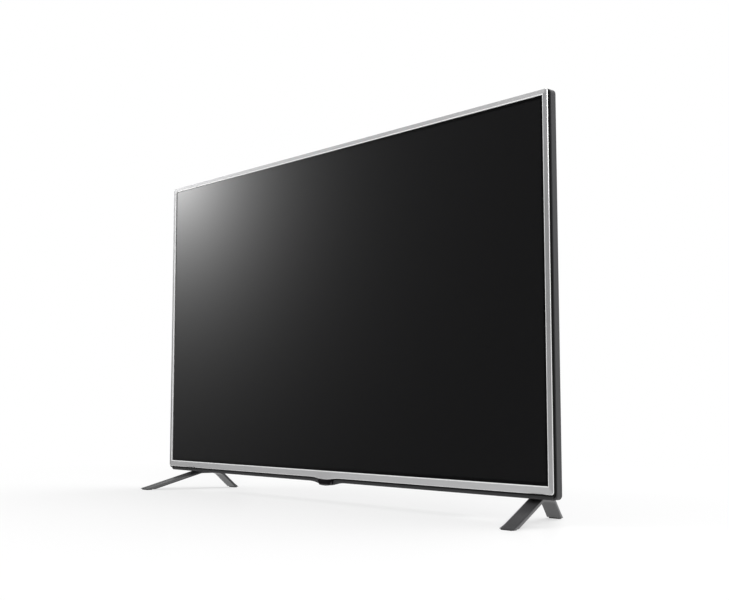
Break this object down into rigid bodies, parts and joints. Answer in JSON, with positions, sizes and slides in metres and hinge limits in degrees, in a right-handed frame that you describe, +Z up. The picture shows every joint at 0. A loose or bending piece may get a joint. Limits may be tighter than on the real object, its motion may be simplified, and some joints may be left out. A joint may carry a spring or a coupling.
{
  "type": "flat screen television",
  "caption": "Slim flat screen television with a thin silver bezel, a stepped dark rear cover, and two splayed arched feet.",
  "frame": {"origin": "on the floor, below the middle of the two feet's fore-and-aft reach and midway between the cabinet's sides", "axes": "+Z up, the screen faces -Y, +X to the right of somebody who looks at the screen"},
  "size_m": [0.96, 0.17, 0.595],
  "materials": {
    "satin_silver": "satin silver",
    "screen_glass": "semi-gloss dark polariser",
    "smoked_window": "gloss smoked",
    "black_plastic": "matte black",
    "dark_grey_plastic": "fine-grained dark grey",
    "foot_plastic": "satin dark grey",
    "rubber": "matte",
    "pressed_steel": "zinc-plated",
    "screw_steel": "black-plated",
    "white_sheet": "white diffuse",
    "clear_lens": "clear",
    "circuit_green": "solder mask",
    "aluminium": "bare extrusion",
    "chip_black": "moulded",
    "contact_metal": "plated",
    "copper_winding": "enamelled",
    "paper_cone": "pressed pulp"
  },
  "bodies": {
    "root": {"front_bezel": "satin_silver", "lcd_cell": "screen_glass", "panel_gasket": "rubber", "source_boards": "circuit_green", "cof_films": "copper_winding", "mid_frame": "black_plastic", "prism_sheet": "clear_lens", "diffuser_film": "white_sheet", "diffuser_plate": "white_sheet", "backlight_tray": "pressed_steel", "reflector_sheet": "white_sheet", "led_bars": "aluminium", "led_lenses": "clear_lens", "diffuser_supports": "white_sheet", "rear_cover": "dark_grey_plastic", "rear_cover_screws": "screw_steel", "wall_mount_rails": "pressed_steel", "wall_mount_bosses": "pressed_steel", "left_foot": "foot_plastic", "right_foot": "foot_plastic", "foot_pads": "rubber", "foot_screws": "screw_steel", "foot_brackets": "pressed_steel", "main_board": "circuit_green", "power_board": "circuit_green", "timing_board": "circuit_green", "board_standoffs": "pressed_steel", "board_screws": "screw_steel", "main_heat_sink": "aluminium", "main_chips": "chip_black", "tuner_can": "pressed_steel", "power_capacitors": "chip_black", "power_transformer": "copper_winding", "power_heat_sinks": "aluminium", "power_coils": "copper_winding", "wifi_module": "circuit_green", "hdmi_ports": "pressed_steel", "usb_port": "pressed_steel", "optical_port": "black_plastic", "jack_panel": "black_plastic", "antenna_socket": "pressed_steel", "av_jacks": "contact_metal", "ac_inlet": "black_plastic", "ac_pins": "contact_metal", "left_speaker": "chip_black", "right_speaker": "chip_black", "speaker_cones": "paper_cone", "speaker_bushes": "rubber", "panel_flat_cables": "white_sheet", "sensor_window": "smoked_window", "sensor_light_guide": "clear_lens", "remote_sensor": "chip_black", "joystick_board": "circuit_green", "joystick_housing": "chip_black"},
    "button_ring": {"joystick_tilt_ring": "chip_black"},
    "button_stem": {"joystick_stem": "chip_black"},
    "button_cap": {"joystick_cap": "dark_grey_plastic"}
  },
  "joints": [
    {"name": "button_side_tilt", "type": "hinge", "parent": "root", "child": "button_ring", "pos_m": [0, 0.001, 0.0445], "axis": [0, 1, 0], "range_deg": [-6, 6], "stiffness_Nm_per_rad": 0.2},
    {"name": "button_front_tilt", "type": "hinge", "parent": "button_ring", "child": "button_stem", "pos_m": [0, 0.001, 0.0445], "axis": [1, 0, 0], "range_deg": [-6, 6], "stiffness_Nm_per_rad": 0.2},
    {"name": "button_press", "type": "slide", "parent": "button_stem", "child": "button_cap", "axis": [0, 0, 1], "range_m": [0, 0.0008], "stiffness_N_per_m": 1500}
  ]
}
